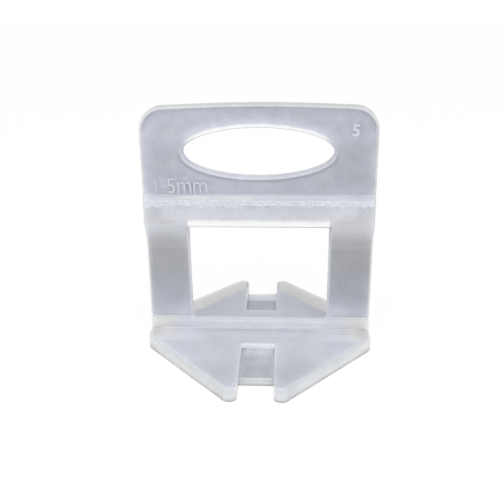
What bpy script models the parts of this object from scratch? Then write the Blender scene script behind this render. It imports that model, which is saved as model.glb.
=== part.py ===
# Tile levelling clip: one injection moulding in translucent polypropylene.
#
# A base plate slides under two neighbouring tiles. A thin blade stands on it between the tiles,
# and a wedge driven through the blade's window presses the tiles level. The legs then snap off
# at a thinned break line just above the spacer rib.
#
# Frame: metres, +Z up, the base's underside on Z = 0 with its centre at the origin. X runs along
# the joint between the tiles and Y across it. The blade's stepped face looks to -Y.

import math

import bmesh
import bpy
from mathutils import Matrix, Vector

MM = 0.001

# Base plate
BASE_WIDTH = 39.3 * MM          # along the joint
BASE_LENGTH = 40.5 * MM         # across the joint, tip to tip
BASE_THICKNESS = 2.6 * MM
SIDE_EDGE = 7.7 * MM            # straight edge at each end of the rib
TIP_WIDTH = 1.85 * MM            # end of each tip, before its corners are rounded
SIDE_CORNER_RADIUS = 2.2 * MM
TIP_RADIUS = 1.05 * MM
BASE_TOP_FILLET = 0.5 * MM
BASE_EDGE_BREAK = 0.15 * MM     # small rounding round the notches and under the plate

# Notch between the tips, closed at the bottom by a thin web
NOTCH_WIDTH = 5.8 * MM
NOTCH_INNER = 6.4 * MM          # from the centre to the notch's inner wall
TIP_REACH = 4.6 * MM           # how far the tips reach past the web
WEB_THICKNESS = 1.5 * MM

# Spacer rib, which sets the joint between the tiles
JOINT_WIDTH = 1.5 * MM
RIB_HEIGHT = 1.4 * MM           # above the base plate
RIB_EDGE_BREAK = 0.12 * MM

# Leg roots and the break line
ROOT_RISE = 0.9 * MM            # how far the rib rises under each leg
ROOT_SLOPE = 0.7 * MM           # run of the slope at the rise's inner end
NECK_GROOVE = 0.2 * MM          # depth of the groove across each face of a leg
NECK_SLOPE = 1.5                # rise of the groove's upper side for each unit of its depth
NECK_LAND = 0.06 * MM           # straight part of the neck, below the groove and the nicks
NICK_DEPTH = 0.5 * MM           # V-shaped nicks in a leg's two edges
NICK_RISE = 0.4 * MM
NECK_LEDGE = 0.2 * MM           # how far the root's top stands out past the nicks

# Blade
BLADE_INSET = 0.1 * MM         # from the base's side edge in to a leg's edge, at the rib
BLADE_TAPER = 0.3 * MM          # how much narrower each edge is at the top
LEG_CLEARANCE = 0.05 * MM       # how far a leg's faces lie inside the rib's
CLIP_HEIGHT = 42.8 * MM         # underside of the base to the middle of the crowned top
TOP_CROWN = 0.47 * MM
TOP_CORNER_RADIUS = 3.8 * MM
BLADE_FILLET = 0.36 * MM

# Wedge window and the bar above it
WINDOW_WIDTH = 23.95 * MM
WINDOW_TOP = 22.15 * MM         # underside of the bar
BAR_THICKNESS = 2.85 * MM
BAR_HEIGHT = 4.15 * MM          # up to the rough ridge
GUSSET_HEIGHT = 5.1 * MM        # hollow curve from the legs' faces out to the bar's face
GUSSET_RUN_ON = 0.5 * MM        # how far the curve goes on above the window's top
RIDGE_HEIGHT = 0.9 * MM
RIDGE_STEP = 0.15 * MM
LEDGE_HEIGHT = 0.8 * MM         # slope from the ridge back to the grip plate

# Grip plate
PLATE_THICKNESS = 2.4 * MM
HOLE_WIDTH = 24.8 * MM
HOLE_HEIGHT = 8.2 * MM
HOLE_DROP = 7.9 * MM            # from the top's crown down to the hole's centre

# Facets
ARC_STEP = math.radians(11.25)
HOLE_SIDES = 72
GUSSET_STEPS = 6
CROWN_STEPS = 16
FILLET_STEPS = 3

SHARP_ANGLE = math.radians(35)
FLAT_ANGLE = 0.0005             # radians; faces this close to one plane are made one face
FACE_SHARE = 0.5                # a face with more of its normal than this along Y is a front or back
JOIN_DISTANCE = 0.005 * MM
OVERLAP = 0.8 * MM              # how far a cutter or a joined piece runs past the face it meets

# Worked out from the sizes above
WEB_OUTER = BASE_LENGTH / 2 - TIP_REACH
RIB_TOP = BASE_THICKNESS + RIB_HEIGHT
BREAK_LINE = RIB_TOP + ROOT_RISE
NECK_TOP = BREAK_LINE + NECK_LAND
BLADE_WIDTH = BASE_WIDTH - 2 * BLADE_INSET
LEG_THICKNESS = JOINT_WIDTH - 2 * LEG_CLEARANCE
BACK_FACE = LEG_THICKNESS / 2
BAR_TOP = WINDOW_TOP + BAR_HEIGHT
HOLE_CENTRE = CLIP_HEIGHT - HOLE_DROP


def clear_scene():
    for item in list(bpy.data.objects):
        bpy.data.objects.remove(item, do_unlink=True)


def new_collection(name):
    collection = bpy.data.collections.new(name)
    bpy.context.scene.collection.children.link(collection)
    return collection


def rounded(corners):
    """Outline points through the corners (x, y, radius), each turned into an arc."""
    outline = []
    for index, (x, y, radius) in enumerate(corners):
        corner = Vector((x, y))
        if radius == 0:
            outline.append(corner)
            continue
        before = Vector(corners[index - 1][:2]) - corner
        after = Vector(corners[(index + 1) % len(corners)][:2]) - corner
        opening = before.angle(after)
        run = radius / math.tan(opening / 2)
        start = corner + before.normalized() * run
        centre = corner + (before.normalized() + after.normalized()).normalized() * (
            radius / math.sin(opening / 2))
        turn = math.pi - opening
        steps = max(2, round(turn / ARC_STEP))
        side = 1 if before.cross(after) < 0 else -1
        for step in range(steps + 1):
            spoke = start - centre
            spoke.rotate(Matrix.Rotation(side * turn * step / steps, 2))
            outline.append(centre + spoke)
    return outline


def flat_solid(name, outlines, depth, placing, collection):
    """A flat outline, with any holes in it, extruded to both sides of its plane."""
    curve = bpy.data.curves.new(name, 'CURVE')
    curve.dimensions = '2D'
    curve.fill_mode = 'BOTH'
    curve.extrude = depth / 2
    for outline in outlines:
        spline = curve.splines.new('POLY')
        spline.points.add(len(outline) - 1)
        for point, place in zip(spline.points, outline):
            point.co = (place.x, place.y, 0, 1)
        spline.use_cyclic_u = True
    drawn = bpy.data.objects.new(name + "_outline", curve)
    collection.objects.link(drawn)
    solid = bpy.data.objects.new(name, mesh_of(drawn))
    collection.objects.link(solid)
    bpy.data.objects.remove(drawn)
    solid.data.transform(placing)
    weld(solid.data)
    return solid


def mesh_of(item):
    """The mesh that an object's modifiers make, as new data."""
    bpy.context.view_layer.update()
    graph = bpy.context.evaluated_depsgraph_get()
    return bpy.data.meshes.new_from_object(item.evaluated_get(graph))


def weld(mesh):
    cage = bmesh.new()
    cage.from_mesh(mesh)
    bmesh.ops.remove_doubles(cage, verts=cage.verts, dist=JOIN_DISTANCE)
    bmesh.ops.dissolve_limit(cage, angle_limit=FLAT_ANGLE, verts=cage.verts, edges=cage.edges)
    bmesh.ops.recalc_face_normals(cage, faces=cage.faces)
    cage.to_mesh(mesh)
    cage.free()


def box(name, low, high, collection):
    mesh = bpy.data.meshes.new(name)
    cage = bmesh.new()
    bmesh.ops.create_cube(cage, size=1)
    size = [top - bottom for bottom, top in zip(low, high)]
    middle = [(top + bottom) / 2 for bottom, top in zip(low, high)]
    bmesh.ops.transform(cage, verts=cage.verts,
                        matrix=Matrix.Translation(middle) @ Matrix.Diagonal((*size, 1)))
    cage.to_mesh(mesh)
    cage.free()
    solid = bpy.data.objects.new(name, mesh)
    collection.objects.link(solid)
    return solid


def combine(item, other, operation):
    step = item.modifiers.new(other.name, 'BOOLEAN')
    step.operation = operation
    step.object = other
    step.solver = 'EXACT'


def fix_shape(item):
    """Replaces an object's mesh with what its modifiers make."""
    made = mesh_of(item)
    item.modifiers.clear()
    item.data = made
    weld(made)


def round_edges(item, width, weight_of):
    """Rounds the edges that weight_of gives a weight, by that share of the width."""
    cage = bmesh.new()
    cage.from_mesh(item.data)
    layer = cage.edges.layers.float.new('bevel_weight_edge')
    for edge in cage.edges:
        if len(edge.link_faces) == 2 and edge.calc_face_angle() > SHARP_ANGLE:
            edge[layer] = weight_of(edge)
    cage.to_mesh(item.data)
    cage.free()
    bevel = item.modifiers.new("rounded_edges", 'BEVEL')
    bevel.limit_method = 'WEIGHT'
    bevel.width = width
    bevel.segments = FILLET_STEPS
    bevel.use_clamp_overlap = False
    bevel.loop_slide = False
    join = item.modifiers.new("joined_points", 'WELD')
    join.merge_threshold = JOIN_DISTANCE


def middle_of(edge):
    return (edge.verts[0].co + edge.verts[1].co) / 2


def mirrored(quarter):
    """The whole base outline from its corners in the quarter where X and Y are positive."""
    right = [(x, -y, r) for x, y, r in reversed(quarter)] + list(quarter)
    left = [(-x, y, r) for x, y, r in reversed(right)]
    return right + left


def base_plate(cutters):
    """The plate, with its slanting edges, rounded tips and the notch between the tips."""
    notch_side = NOTCH_WIDTH / 2
    tip = BASE_LENGTH / 2
    quarter = [
        (BASE_WIDTH / 2, SIDE_EDGE / 2, SIDE_CORNER_RADIUS),
        (notch_side + TIP_WIDTH, tip, TIP_RADIUS),
        (notch_side, tip, TIP_RADIUS),
        (notch_side, WEB_OUTER, 0),
    ]
    plate = flat_solid("base_plate", [rounded(mirrored(quarter))], BASE_THICKNESS,
                       Matrix.Translation((0, 0, BASE_THICKNESS / 2)), cutters)
    for side in (-1, 1):
        ends = sorted((side * NOTCH_INNER, side * (WEB_OUTER + OVERLAP)))
        pocket = box(f"notch_pocket_{side}", (-notch_side, ends[0], WEB_THICKNESS),
                     (notch_side, ends[1], BASE_THICKNESS + OVERLAP), cutters)
        combine(plate, pocket, 'DIFFERENCE')
    fix_shape(plate)

    def weight(edge):
        place = middle_of(edge)
        if abs(edge.verts[0].co.z - edge.verts[1].co.z) > BASE_EDGE_BREAK:
            return 0
        in_notch = abs(place.x) < notch_side + BASE_EDGE_BREAK and abs(place.y) < tip - TIP_RADIUS
        on_top = place.z > BASE_THICKNESS - BASE_EDGE_BREAK
        return 1 if on_top and not in_notch else BASE_EDGE_BREAK / BASE_TOP_FILLET

    round_edges(plate, BASE_TOP_FILLET, weight)
    return plate


def spacer_rib(cutters):
    """The rib that keeps the tiles apart, raised under each leg up to the break line."""
    end = BLADE_WIDTH / 2
    outer = end - NICK_DEPTH + NECK_LEDGE
    inner = WINDOW_WIDTH / 2 + NICK_DEPTH - NECK_LEDGE
    half = [
        Vector((end, BASE_THICKNESS - OVERLAP)),
        Vector((end, BREAK_LINE - NICK_RISE)),
        Vector((outer, BREAK_LINE)),
        Vector((inner, BREAK_LINE)),
        Vector((inner - ROOT_SLOPE, RIB_TOP)),
    ]
    outline = half + [Vector((-point.x, point.y)) for point in reversed(half)]
    rib = flat_solid("spacer_rib", [outline], JOINT_WIDTH,
                     Matrix.Rotation(math.pi / 2, 4, 'X'), cutters)
    round_edges(rib, RIB_EDGE_BREAK, lambda edge: 1)
    return rib


def blade_front():
    """The blade seen from the front: two legs, the window between them, and the finger hole."""
    leg_outer = BLADE_WIDTH / 2
    top_side = leg_outer - BLADE_TAPER
    leg_inner = WINDOW_WIDTH / 2
    foot = RIB_TOP - OVERLAP / 2
    shoulder = CLIP_HEIGHT - TOP_CROWN
    half = [
        (leg_inner, WINDOW_TOP, 0),
        (leg_inner, NECK_TOP + NICK_RISE, 0),
        (leg_inner + NICK_DEPTH, NECK_TOP, 0),
        (leg_inner + NICK_DEPTH, foot, 0),
        (leg_outer - NICK_DEPTH, foot, 0),
        (leg_outer - NICK_DEPTH, NECK_TOP, 0),
        (leg_outer, NECK_TOP + NICK_RISE, 0),
        (top_side, shoulder, TOP_CORNER_RADIUS),
    ]
    crown_reach = top_side - TOP_CORNER_RADIUS
    crown_radius = (crown_reach ** 2 + TOP_CROWN ** 2) / (2 * TOP_CROWN)
    crown = []
    for step in range(1, CROWN_STEPS):
        x = crown_reach * (1 - 2 * step / CROWN_STEPS)
        rise = math.sqrt(crown_radius ** 2 - x ** 2) - crown_radius
        crown.append((x, CLIP_HEIGHT + rise, 0))
    corners = half + crown + [(-x, y, r) for x, y, r in reversed(half)]
    hole = [Vector((HOLE_WIDTH / 2 * math.cos(angle),
                    HOLE_CENTRE + HOLE_HEIGHT / 2 * math.sin(angle)))
            for angle in (2 * math.pi * side / HOLE_SIDES for side in range(HOLE_SIDES))]
    return [rounded(corners), hole]


def blade_side():
    """The blade seen from its edge: flat at the back, stepped out at the bar in front."""
    leg = BACK_FACE - LEG_THICKNESS
    bar = BACK_FACE - BAR_THICKNESS
    plate = BACK_FACE - PLATE_THICKNESS
    neck = LEG_THICKNESS / 2 - NECK_GROOVE
    groove_top = NECK_TOP + NECK_GROOVE * NECK_SLOPE
    reach = leg - bar
    radius = (GUSSET_HEIGHT ** 2 + reach ** 2) / (2 * reach)
    sweep = math.asin(GUSSET_HEIGHT / radius)
    gusset_foot = WINDOW_TOP + GUSSET_RUN_ON - GUSSET_HEIGHT
    gusset = []
    for step in range(GUSSET_STEPS + 1):
        angle = sweep * step / GUSSET_STEPS
        gusset.append(Vector((leg - radius + radius * math.cos(angle),
                              gusset_foot + radius * math.sin(angle))))
    front = [
        Vector((-neck, RIB_TOP - OVERLAP)),
        Vector((-neck, NECK_TOP)),
        Vector((leg, groove_top)),
        *gusset,
        Vector((bar, BAR_TOP)),
        Vector((bar - RIDGE_STEP, BAR_TOP + RIDGE_HEIGHT / 2)),
        Vector((bar, BAR_TOP + RIDGE_HEIGHT)),
        Vector((plate, BAR_TOP + RIDGE_HEIGHT + LEDGE_HEIGHT)),
        Vector((plate, CLIP_HEIGHT + OVERLAP)),
    ]
    back = [
        Vector((BACK_FACE, CLIP_HEIGHT + OVERLAP)),
        Vector((BACK_FACE, groove_top)),
        Vector((neck, NECK_TOP)),
        Vector((neck, RIB_TOP - OVERLAP)),
    ]
    return [list(reversed(front + back))]


def blade(cutters):
    """The strap that stands up between the tiles, from its front and its side outline."""
    upright = Matrix.Rotation(math.pi / 2, 4, 'X')
    sideways = Matrix.Rotation(math.pi / 2, 4, 'Z') @ upright
    reach = 2 * (BAR_THICKNESS + OVERLAP)
    strap = flat_solid("blade", blade_front(), reach, upright, cutters)
    section = flat_solid("blade_section", blade_side(), BLADE_WIDTH + 2 * OVERLAP, sideways, cutters)
    combine(strap, section, 'INTERSECT')
    fix_shape(strap)

    def weight(edge):
        if middle_of(edge).z < NECK_TOP + NICK_RISE + BLADE_FILLET:
            return 0
        facings = [abs(face.normal.y) > FACE_SHARE for face in edge.link_faces]
        return 1 if facings[0] != facings[1] else 0

    round_edges(strap, BLADE_FILLET, weight)
    return strap


def polypropylene():
    material = bpy.data.materials.new("natural_polypropylene")
    material.use_nodes = True
    shader = material.node_tree.nodes["Principled BSDF"]
    shader.inputs["Base Color"].default_value = (0.62, 0.64, 0.67, 1)
    shader.inputs["Roughness"].default_value = 0.35
    shader.inputs["Metallic"].default_value = 0
    shader.inputs["IOR"].default_value = 1.49
    material.diffuse_color = (0.62, 0.64, 0.67, 1)
    return material


def levelling_clip():
    clear_scene()
    parts = new_collection("tile_levelling_clip")
    cutters = new_collection("shapes_joined_into_the_clip")
    clip = bpy.data.objects.new("levelling_clip", mesh_of(base_plate(cutters)))
    parts.objects.link(clip)
    combine(clip, spacer_rib(cutters), 'UNION')
    combine(clip, blade(cutters), 'UNION')
    clip.data.materials.append(polypropylene())
    clip.data.shade_smooth()
    clip.data.set_sharp_from_angle(angle=SHARP_ANGLE)
    for shape in cutters.objects:
        shape.hide_render = True
        shape.display_type = 'WIRE'


levelling_clip()
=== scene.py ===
import math
import random

import bmesh
import bpy
from mathutils import Matrix, Vector


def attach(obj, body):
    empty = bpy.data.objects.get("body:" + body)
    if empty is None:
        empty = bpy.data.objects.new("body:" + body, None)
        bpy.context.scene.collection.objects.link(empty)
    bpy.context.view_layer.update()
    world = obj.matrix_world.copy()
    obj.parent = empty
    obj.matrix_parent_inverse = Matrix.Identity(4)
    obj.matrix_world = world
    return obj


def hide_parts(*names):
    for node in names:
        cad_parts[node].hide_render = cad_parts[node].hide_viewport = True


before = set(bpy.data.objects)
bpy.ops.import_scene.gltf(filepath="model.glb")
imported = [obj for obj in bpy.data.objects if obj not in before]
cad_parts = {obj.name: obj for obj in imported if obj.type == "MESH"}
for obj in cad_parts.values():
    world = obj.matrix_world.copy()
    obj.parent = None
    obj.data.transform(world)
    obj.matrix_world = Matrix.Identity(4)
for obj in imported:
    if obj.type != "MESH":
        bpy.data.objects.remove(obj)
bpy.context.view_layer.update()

# The moulding
# The whole clip is one shot of natural polypropylene: base plate, spacer rib, legs, crossbar
# and grip plate. It is milky, and its light and shade are painted into its colour by place:
# greyer where a wall is thin, as in the legs and the webs of the notches, and whiter where it
# is thick or where light runs out of an edge, with painted glows and painted shade.
MM = 0.001
JOIN_DISTANCE = 0.004 * MM
FLAT_ANGLE = math.radians(0.1)
CREASE_ANGLE = math.radians(38)

moulding_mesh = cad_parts["levelling_clip"].data.copy()
moulding_mesh.materials.clear()
cage = bmesh.new()
cage.from_mesh(moulding_mesh)
bmesh.ops.remove_doubles(cage, verts=cage.verts, dist=JOIN_DISTANCE)
bmesh.ops.dissolve_limit(cage, angle_limit=FLAT_ANGLE, verts=cage.verts, edges=cage.edges)
for face in cage.faces:
    face.smooth = True
for edge in cage.edges:
    edge.smooth = len(edge.link_faces) == 2 and edge.calc_face_angle() < CREASE_ANGLE
cage.to_mesh(moulding_mesh)
cage.free()


def stand(name, data):
    """A new object of the scene, at the origin, from its mesh, lamp, camera or lettering."""
    piece = bpy.data.objects.new(name, data)
    bpy.context.scene.collection.objects.link(piece)
    return piece


moulding = stand("clip_moulding", moulding_mesh)
flats = moulding.modifiers.new("flats_stay_flat", 'WEIGHTED_NORMAL')
flats.keep_sharp = True
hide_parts("levelling_clip")
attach(moulding, "root")

# Sizes that the colour follows, in millimetres
WEB_TOP = 1.5
BASE_TOP = 2.6
BREAK_LINE = 4.9
GUSSET_FOOT = 17.6
WINDOW_TOP = 22.15
RIDGE_FOOT = 26.3
RIDGE_TOP = 27.2
LEDGE_TOP = 28.0
CLIP_TOP = 42.8
HOLE_CENTRE = 34.9
HOLE_HALF_WIDTH = 12.4
HOLE_HALF_HEIGHT = 4.1
WINDOW_SIDE = 11.975
BLADE_SIDE = 19.59               # half the blade's width, carried down to Z = 0
BLADE_TAPER = 0.0081             # how much of that goes for each unit of height
CROWN_RADIUS = 254.0             # of the grip plate's curved top
CORNER_RADIUS = 3.8
NOTCH_SIDE = 2.9
NOTCH_INNER = 6.4
WEB_OUTER = 15.65
SLANT_NORMAL = (0.7401, 0.6724)  # of a slanting base edge, in the base's plane
SLANT_REACH = 17.13              # from the centre out to a slanting edge
NUMBER_CENTRE = (15.55, 38.6)    # of the mould cavity's number, across and up
NUMBER_SPREAD = (0.8, 1.4)

COOL = (0.944, 0.96, 1.08)       # tint of the plastic's body
WATERY = (0.935, 0.976, 1.07)    # tint of the base plate and of the legs' lower ends
CLEAR = (0.975, 0.995, 1.02)     # tint of the painted glow at edges that light runs out of
WARM = (1.02, 0.999, 0.975)      # tint of the painted glows and, in part, of gussets and the painted back band
GLOSS_ROUGHNESS = 0.38
PLASTIC_IOR = 1.49
SCATTER_DEPTH = 4 * MM
GRAIN_STRENGTH = 0.25
GRAIN_DEPTH = 0.05 * MM


def open_nodes(owner):
    """Turns the helpers below to the nodes of one material, or of the world."""
    global nodes, links
    owner.use_nodes = True
    nodes = owner.node_tree.nodes
    links = owner.node_tree.links


def feed(socket, value):
    if isinstance(value, bpy.types.NodeSocket):
        links.new(value, socket)
    else:
        socket.default_value = value


def calc(operation, first, *others):
    """One Math node, or a chain of them where more than two values come together."""
    result = first
    for other in others or (None,):
        step = nodes.new('ShaderNodeMath')
        step.operation = operation
        feed(step.inputs[0], result)
        if other is not None:
            feed(step.inputs[1], other)
        result = step.outputs[0]
    return result


def distance(one, other):
    """Straight distance for two lengths that stand at a right angle."""
    return calc('SQRT', calc('ADD', calc('MULTIPLY', one, one), calc('MULTIPLY', other, other)))


def rise(value, low, high):
    """0 below low, 1 above high and a smooth step between; low may be the larger."""
    step = nodes.new('ShaderNodeMapRange')
    step.interpolation_type = 'SMOOTHSTEP'
    flip = low > high
    feed(step.inputs['Value'], value)
    feed(step.inputs['From Min'], high if flip else low)
    feed(step.inputs['From Max'], low if flip else high)
    feed(step.inputs['To Min'], 1.0 if flip else 0.0)
    feed(step.inputs['To Max'], 0.0 if flip else 1.0)
    return step.outputs['Result']


def band(value, low, high, soft):
    """1 between low and high, fading to 0 over soft outside them."""
    return both(rise(value, low - soft, low), rise(value, high + soft, high))


def both(*masks):
    """The masks multiplied, so 1 only where all of them are."""
    return calc('MULTIPLY', *masks) if len(masks) > 1 else masks[0]


def either(*masks):
    """The largest of the masks at each place."""
    return calc('MAXIMUM', *masks)


def less(mask):
    return calc('SUBTRACT', 1.0, mask)


def linear(level):
    """A grey level of 0 to 255 as linear light."""
    share = level / 255
    return share / 12.92 if share <= 0.04045 else ((share + 0.055) / 1.055) ** 2.4


def paint(before, *rows):
    """The lightness before, moved in turn to each row's grey level, which its first number
    gives, where all the masks after it are 1."""
    for level, *masks in rows:
        step = nodes.new('ShaderNodeMix')
        feed(step.inputs['Factor'], both(*masks))
        feed(step.inputs[2], before)
        feed(step.inputs[3], linear(level))
        before = step.outputs[0]
    return before


def effect_group(name, inputs, output):
    """An empty node group with its sockets, and its own nodes and links."""
    group = bpy.data.node_groups.new(name, 'ShaderNodeTree')
    for socket_name, socket_type in inputs:
        group.interface.new_socket(socket_name, in_out='INPUT', socket_type=socket_type)
    group.interface.new_socket(output[0], in_out='OUTPUT', socket_type=output[1])
    given = group.nodes.new('NodeGroupInput').outputs
    result = group.nodes.new('NodeGroupOutput').inputs[output[0]]
    return group, group.nodes, group.links, given, result


def effect(group, **values):
    """The group placed in the material at hand, with its own values."""
    placed = nodes.new('ShaderNodeGroup')
    placed.node_tree = group
    for name, value in values.items():
        feed(placed.inputs[name], value)
    return placed.outputs[0]


# Soft noise of about 0.3 to 0.7 on the piece's own coordinates
milk_cloud, inner_nodes, inner_links, given, result = effect_group(
    "milk_cloud", (("Scale", 'NodeSocketVector'), ("Detail", 'NodeSocketFloat'),
                   ("Offset", 'NodeSocketVector')), ("Cloud", 'NodeSocketFloat'))
place = inner_nodes.new('ShaderNodeMapping')
noise = inner_nodes.new('ShaderNodeTexNoise')
noise.inputs['Scale'].default_value = 1.0
inner_links.new(inner_nodes.new('ShaderNodeTexCoord').outputs['Object'], place.inputs['Vector'])
inner_links.new(given["Offset"], place.inputs['Location'])
inner_links.new(given["Scale"], place.inputs['Scale'])
inner_links.new(given["Detail"], noise.inputs['Detail'])
inner_links.new(place.outputs['Vector'], noise.inputs['Vector'])
inner_links.new(noise.outputs['Fac'], result)

# Lightness as a colour: cool in the body, other tints where their masks are 1
milky_tint, inner_nodes, inner_links, given, result = effect_group(
    "milky_tint", [(name, 'NodeSocketFloat') for name in ("Lightness", "Watery", "Clear", "Warm")],
    ("Tint", 'NodeSocketColor'))
tint = COOL
for name, other in (("Watery", WATERY), ("Clear", CLEAR), ("Warm", WARM)):
    mix = inner_nodes.new('ShaderNodeMix')
    mix.data_type = 'RGBA'
    inner_links.new(given[name], mix.inputs['Factor'])
    if tint is COOL:
        mix.inputs[6].default_value = COOL + (1,)
    else:
        inner_links.new(tint, mix.inputs[6])
    mix.inputs[7].default_value = other + (1,)
    tint = mix.outputs[2]
lit = inner_nodes.new('ShaderNodeVectorMath')
lit.operation = 'SCALE'
inner_links.new(tint, lit.inputs[0])
inner_links.new(given["Lightness"], lit.inputs['Scale'])
inner_links.new(lit.outputs[0], result)


def cloud(scale, detail=2.0, stretch=(1, 1, 1), seed=0.0):
    """Soft noise with about that many lumps to the metre."""
    return effect(milk_cloud, Scale=[scale * share for share in stretch], Detail=detail,
                  Offset=(seed, seed, seed))


def swing(amount, noise):
    """Noise about zero, times the amount."""
    return calc('MULTIPLY', calc('SUBTRACT', noise, 0.5), amount)


def places():
    """The piece's own coordinates in millimetres and its normal, each in three parts."""
    source = nodes.new('ShaderNodeTexCoord')
    in_mm = nodes.new('ShaderNodeVectorMath')
    in_mm.operation = 'SCALE'
    in_mm.inputs['Scale'].default_value = 1 / MM
    links.new(source.outputs['Object'], in_mm.inputs[0])
    parts = []
    for vector in (in_mm.outputs[0], source.outputs['Normal']):
        split = nodes.new('ShaderNodeSeparateXYZ')
        links.new(vector, split.inputs[0])
        parts.extend(split.outputs)
    return parts


plastic = bpy.data.materials.new("natural_polypropylene")
open_nodes(plastic)
x, y, z, facing_x, facing_y, facing_z = places()
across = calc('ABSOLUTE', x)
along = calc('ABSOLUTE', y)
front = rise(facing_y, -0.5, -0.8)
down = rise(facing_z, -0.6, -0.85)
upright = rise(calc('ABSOLUTE', facing_z), 0.85, 0.25)
back = rise(y, 0.5, 0.9)
blade = rise(z, BREAK_LINE - 0.05, BREAK_LINE + 0.05)
base = rise(z, BASE_TOP + 0.06, BASE_TOP)

# Distance in from the blade's outline, up to its corner radius
crown_drop = calc('DIVIDE', calc('MULTIPLY', x, x), 2 * CROWN_RADIUS)
top_gap = calc('SUBTRACT', CLIP_TOP, crown_drop, z)
side_gap = calc('SUBTRACT', BLADE_SIDE, calc('MULTIPLY', z, BLADE_TAPER), across)
edge_gap = calc('SUBTRACT', CORNER_RADIUS, distance(
    *(calc('MAXIMUM', calc('SUBTRACT', CORNER_RADIUS, gap), 0.0) for gap in (side_gap, top_gap))))

# Distance out from the finger hole's edge
hole_z = calc('SUBTRACT', z, HOLE_CENTRE)
hole_across = calc('DIVIDE', x, HOLE_HALF_WIDTH)
hole_up = calc('DIVIDE', hole_z, HOLE_HALF_HEIGHT)
oval = distance(hole_across, hole_up)
slope = distance(calc('DIVIDE', hole_across, HOLE_HALF_WIDTH),
                 calc('DIVIDE', hole_up, HOLE_HALF_HEIGHT))
hole_gap = calc('DIVIDE', calc('MULTIPLY', calc('SUBTRACT', oval, 1.0), oval), slope)

# Legs and gussets, from the break line up, in painted light and shade: greyer up the thin legs,
# lighter in the gussets, and a painted glow where light runs out of the window's edges.
window_gap = calc('SUBTRACT', across, WINDOW_SIDE)
light = paint(
    linear(205),
    (185, blade),                                             # all above the break line
    (171, blade, rise(z, 5.4, 9.5)),                          # lower legs
    (162, rise(z, 9.5, 14)),                                  # upper legs
    (171, rise(z, GUSSET_FOOT, GUSSET_FOOT + 0.7)),           # gussets' feet
    (202, rise(z, 18.7, 22.2)),                               # gussets
    (206, rise(z, 22.5, 23.2)),                               # crossbar
    (196, blade, rise(z, 8.5, 5.2), rise(across, 17.5, 13)),  # legs' inner feet
    (192, blade, rise(z, WINDOW_TOP + 0.4, WINDOW_TOP), rise(window_gap, 0.5, 0.1)))

# Crossbar, ridge and ledge, from the window's top up, in painted light and shade: a painted glow
# over the window, painted shade at the bar's foot beside the window and at its ends, lighter under
# the ridge against its shadow, and the up-facing ledge painted lighter. The ridge's foot is
# ragged.
over_window = rise(window_gap, 0.05, -0.15)
beside_window = rise(window_gap, -0.5, 2.5)
# bar_glow: the painted glow along the bar's front over the window, light through its underside
bar_glow = both(over_window, rise(z, 24.0, 22.7), rise(z, 20, 21), front)
ragged = calc('ADD', z, swing(1.4, cloud(1200, seed=13.0)))
light = paint(
    light,
    (209, front, band(z, 23.5, RIDGE_FOOT, 1)),               # the bar's face
    (196, front, beside_window, band(z, 22.7, 23.4, 0.6)),    # its foot, beside the window
    (214, front, beside_window, band(z, 25.2, RIDGE_FOOT, 0.8)),  # under the ridge
    (198, front, band(z, 23.9, 25.9, 0.5), rise(across, 15.2, 17.4)),  # the bar's ends
    (247, bar_glow),
    (225, front, rise(z, 25.2, 25.8), rise(ragged, 25.7, 26.25)),  # ridge
    (218, front, rise(z, 26.9, 27.2)),                        # ledge
    (209, front, rise(z, 27.5, 27.9)),                        # its top
    (208, front, rise(z, 27.2, 27.6), rise(across, 11, 16)))  # its ends

# Grip plate: its front, then its back, its outer edge and the lines inside its top corners, in
# painted light and shade: a lighter foot against the shade under the marks and ledge, a painted
# glow along the outer edge, the up-facing top edge painted darker, and painted shade with a
# painted dark line inside the top corners
near_top = rise(z, 37.8, 39.6)
light = paint(
    light,
    (187, front, rise(z, LEDGE_TOP - 0.05, LEDGE_TOP + 0.25)),  # the plate's front
    (193, front, rise(z, LEDGE_TOP, LEDGE_TOP + 0.2), rise(z, 29.8, 28.2)),  # its foot
    (189, front, rise(z, 38, 40)),                            # its top
    (182, front, band(z, 31, 35, 2.5), band(side_gap, 3.2, 6, 2.2)),  # beside the hole
    (191, front, band(z, 37.5, 40, 1.5), rise(across, 11, 14)),  # top corners
    (188, less(front), rise(z, 17, 22)),                      # the blade's back
    (195, blade, rise(edge_gap, 0.5, 0.1)),                   # the blade's outer edge
    (178, blade, rise(facing_z, 0.3, 0.7), rise(z, 30, 40)),  # top edge
    (181, front, near_top, band(edge_gap, 0.8, 0.95, 0.7)),   # painted shade inside the edge
    (168, front, near_top, band(edge_gap, 0.5, 0.65, 0.25)))  # the painted dark line in it

# Finger hole: a painted glow above it, painted shade with a painted dark line below it, and its
# lower wall and rounded edge painted lighter
above_hole = rise(hole_z, 1.2, 3.4)
below_hole = rise(hole_z, 0.5, -1.0)
hole_glow = both(front, above_hole, rise(hole_gap, 0.85, 0.25))
light = paint(
    light,
    (203, front, above_hole, rise(hole_gap, 2.3, 0.7)),       # the glow's soft outside
    (246, hole_glow),
    (174, front, below_hole, rise(hole_gap, 1.2, 0.5)),       # painted shade below the hole
    (163, front, below_hole, band(hole_gap, 0.45, 0.6, 0.2)),  # the painted dark line in it
    (194, front, below_hole, rise(hole_gap, 0.4, 0.22)))      # the hole's rounded edge

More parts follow.
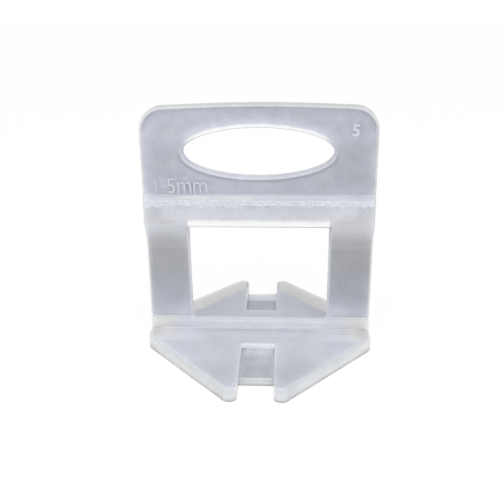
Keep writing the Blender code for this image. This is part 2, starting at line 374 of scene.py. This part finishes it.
# The plate is painted whiter round its raised marks, against the shade they cast on it. The walls
# of the hole and of the window's top face neither front nor back: the hole's walls are painted
# darker against the light from above, and faces that look down get painted shade.
from_number = distance(*(calc('DIVIDE', calc('SUBTRACT', value, centre), spread)
                         for value, centre, spread in zip((x, z), NUMBER_CENTRE, NUMBER_SPREAD)))
inside_edge = rise(edge_gap, 1.5, 2)
light = paint(
    light,
    (192, front, band(x, -17.3, -8.4, 0.5), band(z, 28.3, 30.6, 0.5)),  # painted whiter round the joint width
    (201, front, rise(from_number, 1.4, 0.4)),                # painted whiter round the cavity's number
    (190, rise(z, LEDGE_TOP, LEDGE_TOP + 0.5), rise(calc('ABSOLUTE', facing_y), 0.8, 0.4),
     inside_edge),
    (140, down, rise(z, 20, 21), inside_edge))                # painted shade on faces that look down

# Spacer rib, in painted light and shade: lighter under the legs and along its lower front against
# the shade there, its up-facing top painted darker, a painted light line at its foot, and painted
# shade at the nicks at the ends of the break line
rib = both(less(blade), less(base))
rib_foot = both(rise(z, BASE_TOP + 0.5, BASE_TOP + 0.1), rise(z, BASE_TOP - 0.3, BASE_TOP - 0.1))
light = paint(
    light,
    (206, rib),
    (211, rib, rise(across, 11, 14)),                         # under the legs
    (192, rib, rise(facing_z, 0.5, 0.8)),                     # its top
    (200, rib, rise(z, 4.1, 4.8), rise(across, 11, 12.5)),    # under the break line
    (213, rib, rise(z, 3.6, 3.2), rise(across, 14, 11)),      # lower front
    (196, rib, rise(z, 3.65, 3.9), rise(across, 11.9, 11.4)),  # top edge under the window
    (230, rib, rib_foot),
    (215, rib, rib_foot, rise(across, 9, 13)),
    (178, band(z, BREAK_LINE - 0.1, BREAK_LINE + 0.5, 0.15), rise(across, 18.9, 19.2)))

# Base plate's top, in painted light and shade: lighter by the rib's ends and along its foot
# against the shadows there, darker by the notches and at the back tips' inner edges. Behind the
# blade its slanting walls show through as a lighter band, painted into the colour.
plateau = both(base, rise(z, WEB_TOP + 0.2, WEB_TOP + 0.4))
slant = calc('ADD', calc('MULTIPLY', across, SLANT_NORMAL[0]),
             calc('MULTIPLY', along, SLANT_NORMAL[1]))
wavy_slant = calc('ADD', slant, swing(1.2, cloud(450, seed=5.0)))
back_band = both(plateau, back, rise(wavy_slant, SLANT_REACH - 4.8, SLANT_REACH - 3.3))
light = paint(
    light,
    (204, plateau),
    (199, plateau, rise(along, 3.0, 1.4), rise(across, 14, 8)),  # by the rib's middle
    (198, plateau, rise(along, 3, 5), rise(across, 11, 7)),   # middle, off the rib
    (216, plateau, band(along, 3.4, 5.0, 1.2), rise(across, 8, 13)),  # towards the sides
    (215, plateau, rise(along, 3.4, 1.8), rise(across, 9, 13)),  # by the rib's ends
    (194, plateau, rise(across, 4.5, 2.5), band(along, 5.6, NOTCH_INNER, 0.6)),  # by the notch
    (188, plateau, rise(along, 10.5, 16)),                    # tips
    (236, plateau, rise(along, 1.4, 0.85)),                   # painted light line at the rib's foot
    (191, plateau, back),                                     # behind the blade
    (203, back_band),
    (212, back_band, rise(across, 7, 11.5)),                  # towards the sides
    (172, plateau, back, rise(across, 3.7, 3.1), rise(along, 15.5, 17)))  # back tips' inner edges

# Webs of the notches: thin, so painted grey, with painted light by the notch's end and at their
# sides against the shade there, a lighter far edge behind, where the web's front shows through,
# and a painted dark line at the front edge
notch = both(rise(across, NOTCH_SIDE + 0.1, NOTCH_SIDE),
             rise(along, NOTCH_INNER - 0.1, NOTCH_INNER),
             rise(along, WEB_OUTER - 0.02, WEB_OUTER - 0.1), base)
web = both(notch, rise(z, WEB_TOP + 0.25, WEB_TOP + 0.1))
light = paint(
    light,
    (216, web),                                               # by the notch's end
    (188, web, rise(along, 7.0, 9.5)),                        # web
    (178, web, rise(along, 10, 13)),                          # its outer half
    (206, web, less(back), rise(across, 1.9, NOTCH_SIDE)),    # its sides
    (178, web, back),
    (216, web, back, rise(along, 12.2, 13.2)),                # far edge, behind
    (160, web, less(back), rise(along, WEB_OUTER - 0.5, WEB_OUTER - 0.25)))  # painted dark line at the edge

# Upright walls of the base plate, painted lightest at their feet against the shade by the floor
# and lighter in the notches, then its soft top edge, painted darker against the light from above,
# and corners
base_wall = both(base, upright)
web_front = both(base_wall, band(along, WEB_OUTER - 0.1, WEB_OUTER + 0.1, 0.1),
                 rise(across, NOTCH_SIDE, NOTCH_SIDE - 0.1))
light = paint(
    light,
    (207, base_wall),
    (199, base_wall, less(notch), rise(across, 8, 5)),        # tips
    (222, base_wall, rise(across, NOTCH_SIDE + 0.4, NOTCH_SIDE)),  # into the notches
    (234, upright, notch),                                    # walls of the notches
    (247, base_wall, rise(z, 2.2, 0.0), rise(across, 3, 9)),  # feet of the slanting walls
    (234, base_wall, rise(z, 2.2, 0.0), rise(across, 9, 3)),  # feet of the tips
    (219, base_wall, rise(across, 16.5, 18.5)),               # side corners
    (204, web_front),                                         # the webs' outer walls
    (255, web_front, rise(z, 1.1, 0.3)),
    (194, base, rise(facing_z, 0.12, 0.3), rise(facing_z, 0.97, 0.8),
     rise(across, NOTCH_SIDE + 0.2, NOTCH_SIDE + 0.6)),
    (195, less(blade), less(upright), rise(across, 16.6, 18.8)))  # side corners' top

# Uneven milkiness: broad clouds all over, streaks along the webs and a fine grain. Painted light:
# a slow change from the clip's left to its right, given for each millimetre, and a lighter right
# end of the crossbar and gusset
patchy = calc('ADD', calc('MULTIPLY', rise(z, LEDGE_TOP, LEDGE_TOP + 1), 0.14), 0.14)
right_end = both(blade, rise(x, 8, 14), band(z, 20.5, 26, 1))
painted_light_to_the_right = calc(
    'ADD',
    both(-0.0024, blade, rise(z, 6, 11)),
    both(-0.0012, plateau),
    both(0.001, base_wall),
    both(-0.001, back_band),
    both(-0.005, plateau, less(back), rise(along, 8, 11), rise(across, 10, 7)))
uneven = calc(
    'ADD',
    swing(0.16, cloud(150)),
    swing(0.14, cloud(2200, 3.0)),
    swing(patchy, cloud(600, 3.0, seed=9.0)),
    both(swing(0.3, cloud(700, 3.0, (1, 0.35, 0.3))), web),
    both(right_end, 0.05),
    both(x, painted_light_to_the_right))
light = calc('MULTIPLY', light, calc('ADD', uneven, 1.0))

# Where each tint goes; the warm tint follows the painted glows and the painted back band
haze = both(less(blade), rise(across, 12, 17), rise(along, 7, 3))
gusset_glow = both(front, band(z, 19, 23.5, 1.8), rise(cloud(220, seed=3.0), 0.35, 0.65))
watery = both(rise(z, 15, 9), calc('SUBTRACT', 0.85, both(blade, 0.4)))
clear = either(
    both(base_wall, less(notch)),
    both(rise(light, linear(204), linear(226)), less(both(plateau, less(back)))),
    both(blade, rise(edge_gap, 0.6, 0.2)),
    both(blade, band(z, 15, 24, 4), 0.7),
    haze,
    both(rise(cloud(260, seed=7.0), 0.4, 0.75), 0.3))
warm = either(
    both(bar_glow, rise(z, WINDOW_TOP, WINDOW_TOP + 0.6)),
    both(hole_glow, 0.9),
    both(back_band, 0.7),
    both(gusset_glow, 0.45),
    both(haze, 0.35))

shader = nodes["Principled BSDF"]
links.new(effect(milky_tint, Lightness=light, Watery=watery, Clear=clear, Warm=warm),
          shader.inputs['Base Color'])
shader.inputs['Roughness'].default_value = GLOSS_ROUGHNESS
shader.inputs['IOR'].default_value = PLASTIC_IOR
shader.inputs['Subsurface Weight'].default_value = 1.0
shader.inputs['Subsurface Radius'].default_value = (1, 1, 1)
shader.inputs['Subsurface Scale'].default_value = SCATTER_DEPTH
grain = nodes.new('ShaderNodeBump')
grain.inputs['Strength'].default_value = GRAIN_STRENGTH
grain.inputs['Distance'].default_value = GRAIN_DEPTH
links.new(cloud(700, 3.0), grain.inputs['Height'])
links.new(grain.outputs[0], shader.inputs['Normal'])
moulding_mesh.materials.append(plastic)

# Raised marks
# The joint width that the rib sets and the mould cavity's number stand a little proud of the
# grip plate's front. They are cut into the mould, so they are the same plastic. The figure 1
# has a long flag, so it is made of two plain strokes and the rest is set type.
MARK_RISE = 0.07 * MM            # in front of the plate
MARK_SINK = 0.05 * MM            # into the plate
PLATE_FRONT = -1.7 * MM
MARK_DEPTH = MARK_RISE + MARK_SINK
MARK_MIDDLE = PLATE_FRONT - (MARK_RISE - MARK_SINK) / 2
LINE_FOOT = 28.17                # millimetres, as are the places and sizes below
STROKE_WIDTH = 0.2
FIGURE_ONE = (((-16.95, LINE_FOOT), (-16.95, 30.71)), ((-17.50, 29.80), (-16.99, 30.64)))

mark_plastic = bpy.data.materials.new("marks")
open_nodes(mark_plastic)
x, y, z, facing_x, facing_y, facing_z = places()
mottle = calc('ADD', both(cloud(900), 0.2), 0.9)
light = paint(linear(204), (211, rise(x, 0.0, 10)), (224, rise(z, 27, 26)))
shader = nodes["Principled BSDF"]
links.new(effect(milky_tint, Lightness=both(mottle, light), Clear=0.15),
          shader.inputs['Base Color'])
shader.inputs['Roughness'].default_value = GLOSS_ROUGHNESS
shader.inputs['IOR'].default_value = PLASTIC_IOR


def raised_mark(name, words, corner, size, boldness=0.0, strokes=()):
    """Set type and plain strokes on the plate's front. The corner is the type's lower left."""
    lettering = bpy.data.curves.new(name, 'FONT')
    lettering.body = words
    lettering.size = 1.0
    lettering.extrude = 0.5
    lettering.offset = boldness
    lettering.body_format[0].kerning = -1.0
    lettering.resolution_u = 4
    drawn = stand(name + "_drawn", lettering)
    bpy.context.view_layer.update()
    mesh = bpy.data.meshes.new_from_object(
        drawn.evaluated_get(bpy.context.evaluated_depsgraph_get()))
    bpy.data.objects.remove(drawn)
    low = [min(vert.co[axis] for vert in mesh.vertices) for axis in (0, 1)]
    high = [max(vert.co[axis] for vert in mesh.vertices) for axis in (0, 1)]
    mesh.transform(Matrix.Translation((-low[0], -low[1], 0)))
    mesh.transform(Matrix.Diagonal((size[0] * MM / (high[0] - low[0]),
                                    size[1] * MM / (high[1] - low[1]), MARK_DEPTH, 1)))
    mesh.transform(Matrix.Rotation(math.pi / 2, 4, 'X'))
    mesh.transform(Matrix.Translation((corner[0] * MM, MARK_MIDDLE, corner[1] * MM)))
    cage = bmesh.new()
    cage.from_mesh(mesh)
    bmesh.ops.remove_doubles(cage, verts=cage.verts, dist=JOIN_DISTANCE)
    for start, end in strokes:
        run = (Vector(end) - Vector(start)) * MM
        centre = (Vector(start) + Vector(end)) / 2 * MM
        made = bmesh.ops.create_cube(cage, size=1)
        place = Matrix.Translation((centre.x, MARK_MIDDLE, centre.y))
        lean = Matrix.Rotation(math.atan2(run.x, run.y), 4, 'Y')
        shape = Matrix.Diagonal((STROKE_WIDTH * MM, MARK_DEPTH, run.length, 1))
        bmesh.ops.transform(cage, verts=made['verts'], matrix=place @ lean @ shape)
    for face in cage.faces:
        face.smooth = False
    cage.to_mesh(mesh)
    cage.free()
    mesh.materials.clear()
    mesh.materials.append(mark_plastic)
    mark = stand(name, mesh)
    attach(mark, "root")


raised_mark("joint_width_mark", ".5", (-15.94, LINE_FOOT), (2.18, 2.54), strokes=FIGURE_ONE)
raised_mark("joint_width_unit", "mm", (-13.42, LINE_FOOT), (4.98, 1.98))
raised_mark("cavity_number", "5", (15.0, 37.65), (1.15, 1.95), boldness=0.03)

# Ejector rings
# Two ejector pins push the clip out of the mould at the ends of the crossbar. The gap round
# each pin leaves a fine ring on the face.
RING_RADIUS = 0.85 * MM
RING_WIDTH = 0.14 * MM
RING_RISE = 0.02 * MM
RING_PLACES = ((-15.05, 25.35), (15.4, 25.45))
RING_SIDES = 8
RING_STEPS = 40
BAR_FRONT = -2.15 * MM

rings_mesh = bpy.data.meshes.new("ejector_rings")
cage = bmesh.new()
for ring_x, ring_z in RING_PLACES:
    centre = Vector((ring_x * MM, BAR_FRONT, ring_z * MM))
    made = bmesh.ops.create_circle(cage, segments=RING_SIDES, radius=0.5)
    section = Matrix.Translation(centre + Vector((RING_RADIUS, 0, 0))) @ Matrix.Diagonal(
        (RING_WIDTH, RING_RISE * 2, 1, 1))
    bmesh.ops.transform(cage, matrix=section, verts=made['verts'])
    edges = [edge for edge in cage.edges if not edge.link_faces and edge.verts[0] in made['verts']]
    bmesh.ops.spin(cage, geom=edges, cent=centre, axis=(0, 1, 0), angle=2 * math.pi,
                   steps=RING_STEPS, use_merge=True)
bmesh.ops.recalc_face_normals(cage, faces=cage.faces)
for face in cage.faces:
    face.smooth = True
cage.to_mesh(rings_mesh)
cage.free()
rings_mesh.materials.append(mark_plastic)
rings = stand("ejector_rings", rings_mesh)
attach(rings, "root")

# Rough ridge
# A row of coarse grain, left by the mould's spark-eroded face, runs along the top of the
# crossbar and sparkles against the smooth plastic round it, partly from its grain and partly from
# lighter specks painted into its colour as painted glints.
RIDGE_HALF_LENGTH = 19.1 * MM
RIDGE_COLUMNS = 300
RIDGE_ROWS = 9
RIDGE_LOW = 26.12 * MM
RIDGE_HIGH = 27.2 * MM
RIDGE_REACH = 0.15 * MM          # how far the ridge's middle stands in front of the bar's face
RIDGE_BACK = -1.9 * MM           # inside the crossbar
RIDGE_ROUGHNESS = 0.4
RIM_WIDTH = 0.01 * MM            # only the grid's outermost vertices lie in it
GRAIN_RISE = 0.05 * MM
GRAIN_SINK = 0.08 * MM
GRAIN_SHIFT_UP = 0.04            # millimetres either way
GRAIN_SHIFT_ACROSS = 0.03

ridge_mesh = bpy.data.meshes.new("rough_ridge")
cage = bmesh.new()
bmesh.ops.create_grid(cage, x_segments=RIDGE_COLUMNS, y_segments=RIDGE_ROWS, size=0.5)
bmesh.ops.transform(cage, verts=cage.verts, matrix=Matrix.Translation(
    (0, BAR_FRONT, (RIDGE_LOW + RIDGE_HIGH) / 2)) @ Matrix.Diagonal(
    (RIDGE_HALF_LENGTH * 2, 1, RIDGE_HIGH - RIDGE_LOW, 1)) @ Matrix.Rotation(math.pi / 2, 4, 'X'))
chance = random.Random(11)
middle = (RIDGE_FOOT + RIDGE_TOP) / 2 * MM
for vert in cage.verts:
    away = min(1, abs(vert.co.z - middle) / ((RIDGE_TOP - RIDGE_FOOT) / 2 * MM))
    edge = min(vert.co.z - RIDGE_LOW, RIDGE_HIGH - vert.co.z, RIDGE_HALF_LENGTH - abs(vert.co.x))
    if edge < RIM_WIDTH:
        vert.co.y = BAR_FRONT - RIDGE_REACH * (1 - away) + GRAIN_SINK
    else:
        vert.co.y = BAR_FRONT - RIDGE_REACH * (1 - away) - GRAIN_RISE * chance.random() ** 2
        vert.co.z += chance.uniform(-GRAIN_SHIFT_UP, GRAIN_SHIFT_UP) * MM
        vert.co.x += chance.uniform(-GRAIN_SHIFT_ACROSS, GRAIN_SHIFT_ACROSS) * MM
backs = bmesh.ops.extrude_face_region(cage, geom=cage.faces[:])
for vert in backs['geom']:
    if isinstance(vert, bmesh.types.BMVert):
        vert.co.y = RIDGE_BACK
bmesh.ops.recalc_face_normals(cage, faces=cage.faces)
cage.to_mesh(ridge_mesh)
cage.free()

rough_plastic = bpy.data.materials.new("rough_plastic")
open_nodes(rough_plastic)
x, y, z, facing_x, facing_y, facing_z = places()
# lighter specks are painted glints of the grain; brightest low on the ridge, a painted highlight
# at its foot
speckle = rise(cloud(4200), 0.42, 0.62)
light = paint(linear(211), (224, speckle), (241, speckle, rise(z, 26.8, 26.4)))
shader = nodes["Principled BSDF"]
links.new(effect(milky_tint, Lightness=light, Clear=0.2), shader.inputs['Base Color'])
shader.inputs['Roughness'].default_value = RIDGE_ROUGHNESS
shader.inputs['IOR'].default_value = PLASTIC_IOR
ridge_mesh.materials.append(rough_plastic)
ridge = stand("rough_ridge", ridge_mesh)
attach(ridge, "root")

# Floor, light and camera
# A white floor stands under and behind the clip, lit evenly by a plain sky and one soft lamp.
# The floor and the sky look white to the camera and in gloss, whatever light falls on them.
FLOOR_SIZE = 2.0
FLOOR_COLOUR = (0.95, 0.95, 0.95, 1)
FLOOR_GLOW = 0.9                 # the rest is left for the clip's shadow
SKY_LIGHT = 0.86
WHITE = (1, 1, 1, 1)
LAMP_SIZE = 0.5
LAMP_POWER = 1.4
LAMP_PLACE = Vector((0, -0.35, 0.55))


def seen():
    """1 for what the camera sees, straight or in gloss or through clear plastic."""
    rays = nodes.new('ShaderNodeLightPath').outputs
    return either(rays['Is Camera Ray'], rays['Is Glossy Ray'], rays['Is Transmission Ray'])


floor_mesh = bpy.data.meshes.new("floor")
cage = bmesh.new()
bmesh.ops.create_grid(cage, x_segments=1, y_segments=1, size=FLOOR_SIZE / 2)
cage.to_mesh(floor_mesh)
cage.free()
floor = stand("floor", floor_mesh)

paper = bpy.data.materials.new("white_paper")
open_nodes(paper)
shader = nodes["Principled BSDF"]
shader.inputs['Base Color'].default_value = FLOOR_COLOUR
shader.inputs['Roughness'].default_value = 1.0
shader.inputs['Specular IOR Level'].default_value = 0.0
glow = nodes.new('ShaderNodeEmission')
glow.inputs['Color'].default_value = WHITE
glow.inputs['Strength'].default_value = 1.0
blend = nodes.new('ShaderNodeMixShader')
links.new(both(seen(), FLOOR_GLOW), blend.inputs['Fac'])
links.new(shader.outputs[0], blend.inputs[1])
links.new(glow.outputs[0], blend.inputs[2])
links.new(blend.outputs[0], nodes["Material Output"].inputs['Surface'])
floor_mesh.materials.append(paper)

world = bpy.data.worlds.new("studio")
bpy.context.scene.world = world
open_nodes(world)
sky = nodes["Background"]
sky.inputs['Color'].default_value = WHITE
links.new(calc('ADD', both(seen(), 1 - SKY_LIGHT), SKY_LIGHT), sky.inputs['Strength'])

lamp = bpy.data.lights.new("softbox", 'AREA')
lamp.shape = 'SQUARE'
lamp.size = LAMP_SIZE
lamp.energy = LAMP_POWER
softbox = stand("softbox", lamp)
softbox.location = LAMP_PLACE
softbox.rotation_euler = (-LAMP_PLACE).to_track_quat('-Z', 'Y').to_euler()

PHOTO_SIDE = 500                 # pixels
FOCAL_PIXELS = 666.8
SENSOR = 36.0
CAMERA_PLACE = Vector((4.354, -107.416, 60.263)) * MM
PITCH = 0.379                    # downwards
YAW = 0.05525
ROLL = -0.012

camera_data = bpy.data.cameras.new("camera")
camera_data.sensor_width = SENSOR
camera_data.lens = FOCAL_PIXELS / PHOTO_SIDE * SENSOR
camera_data.clip_start = 0.01
camera = stand("camera", camera_data)
look = Vector((-math.sin(YAW) * math.cos(PITCH), math.cos(YAW) * math.cos(PITCH),
               -math.sin(PITCH)))
side = Vector((math.cos(YAW), math.sin(YAW), 0))
up = side.cross(look)
right = side * math.cos(ROLL) + up * math.sin(ROLL)
top = -side * math.sin(ROLL) + up * math.cos(ROLL)
camera.matrix_world = Matrix((
    (right.x, top.x, -look.x, CAMERA_PLACE.x),
    (right.y, top.y, -look.y, CAMERA_PLACE.y),
    (right.z, top.z, -look.z, CAMERA_PLACE.z),
    (0, 0, 0, 1),
))
bpy.context.scene.camera = camera
bpy.context.scene.view_settings.view_transform = 'Standard'
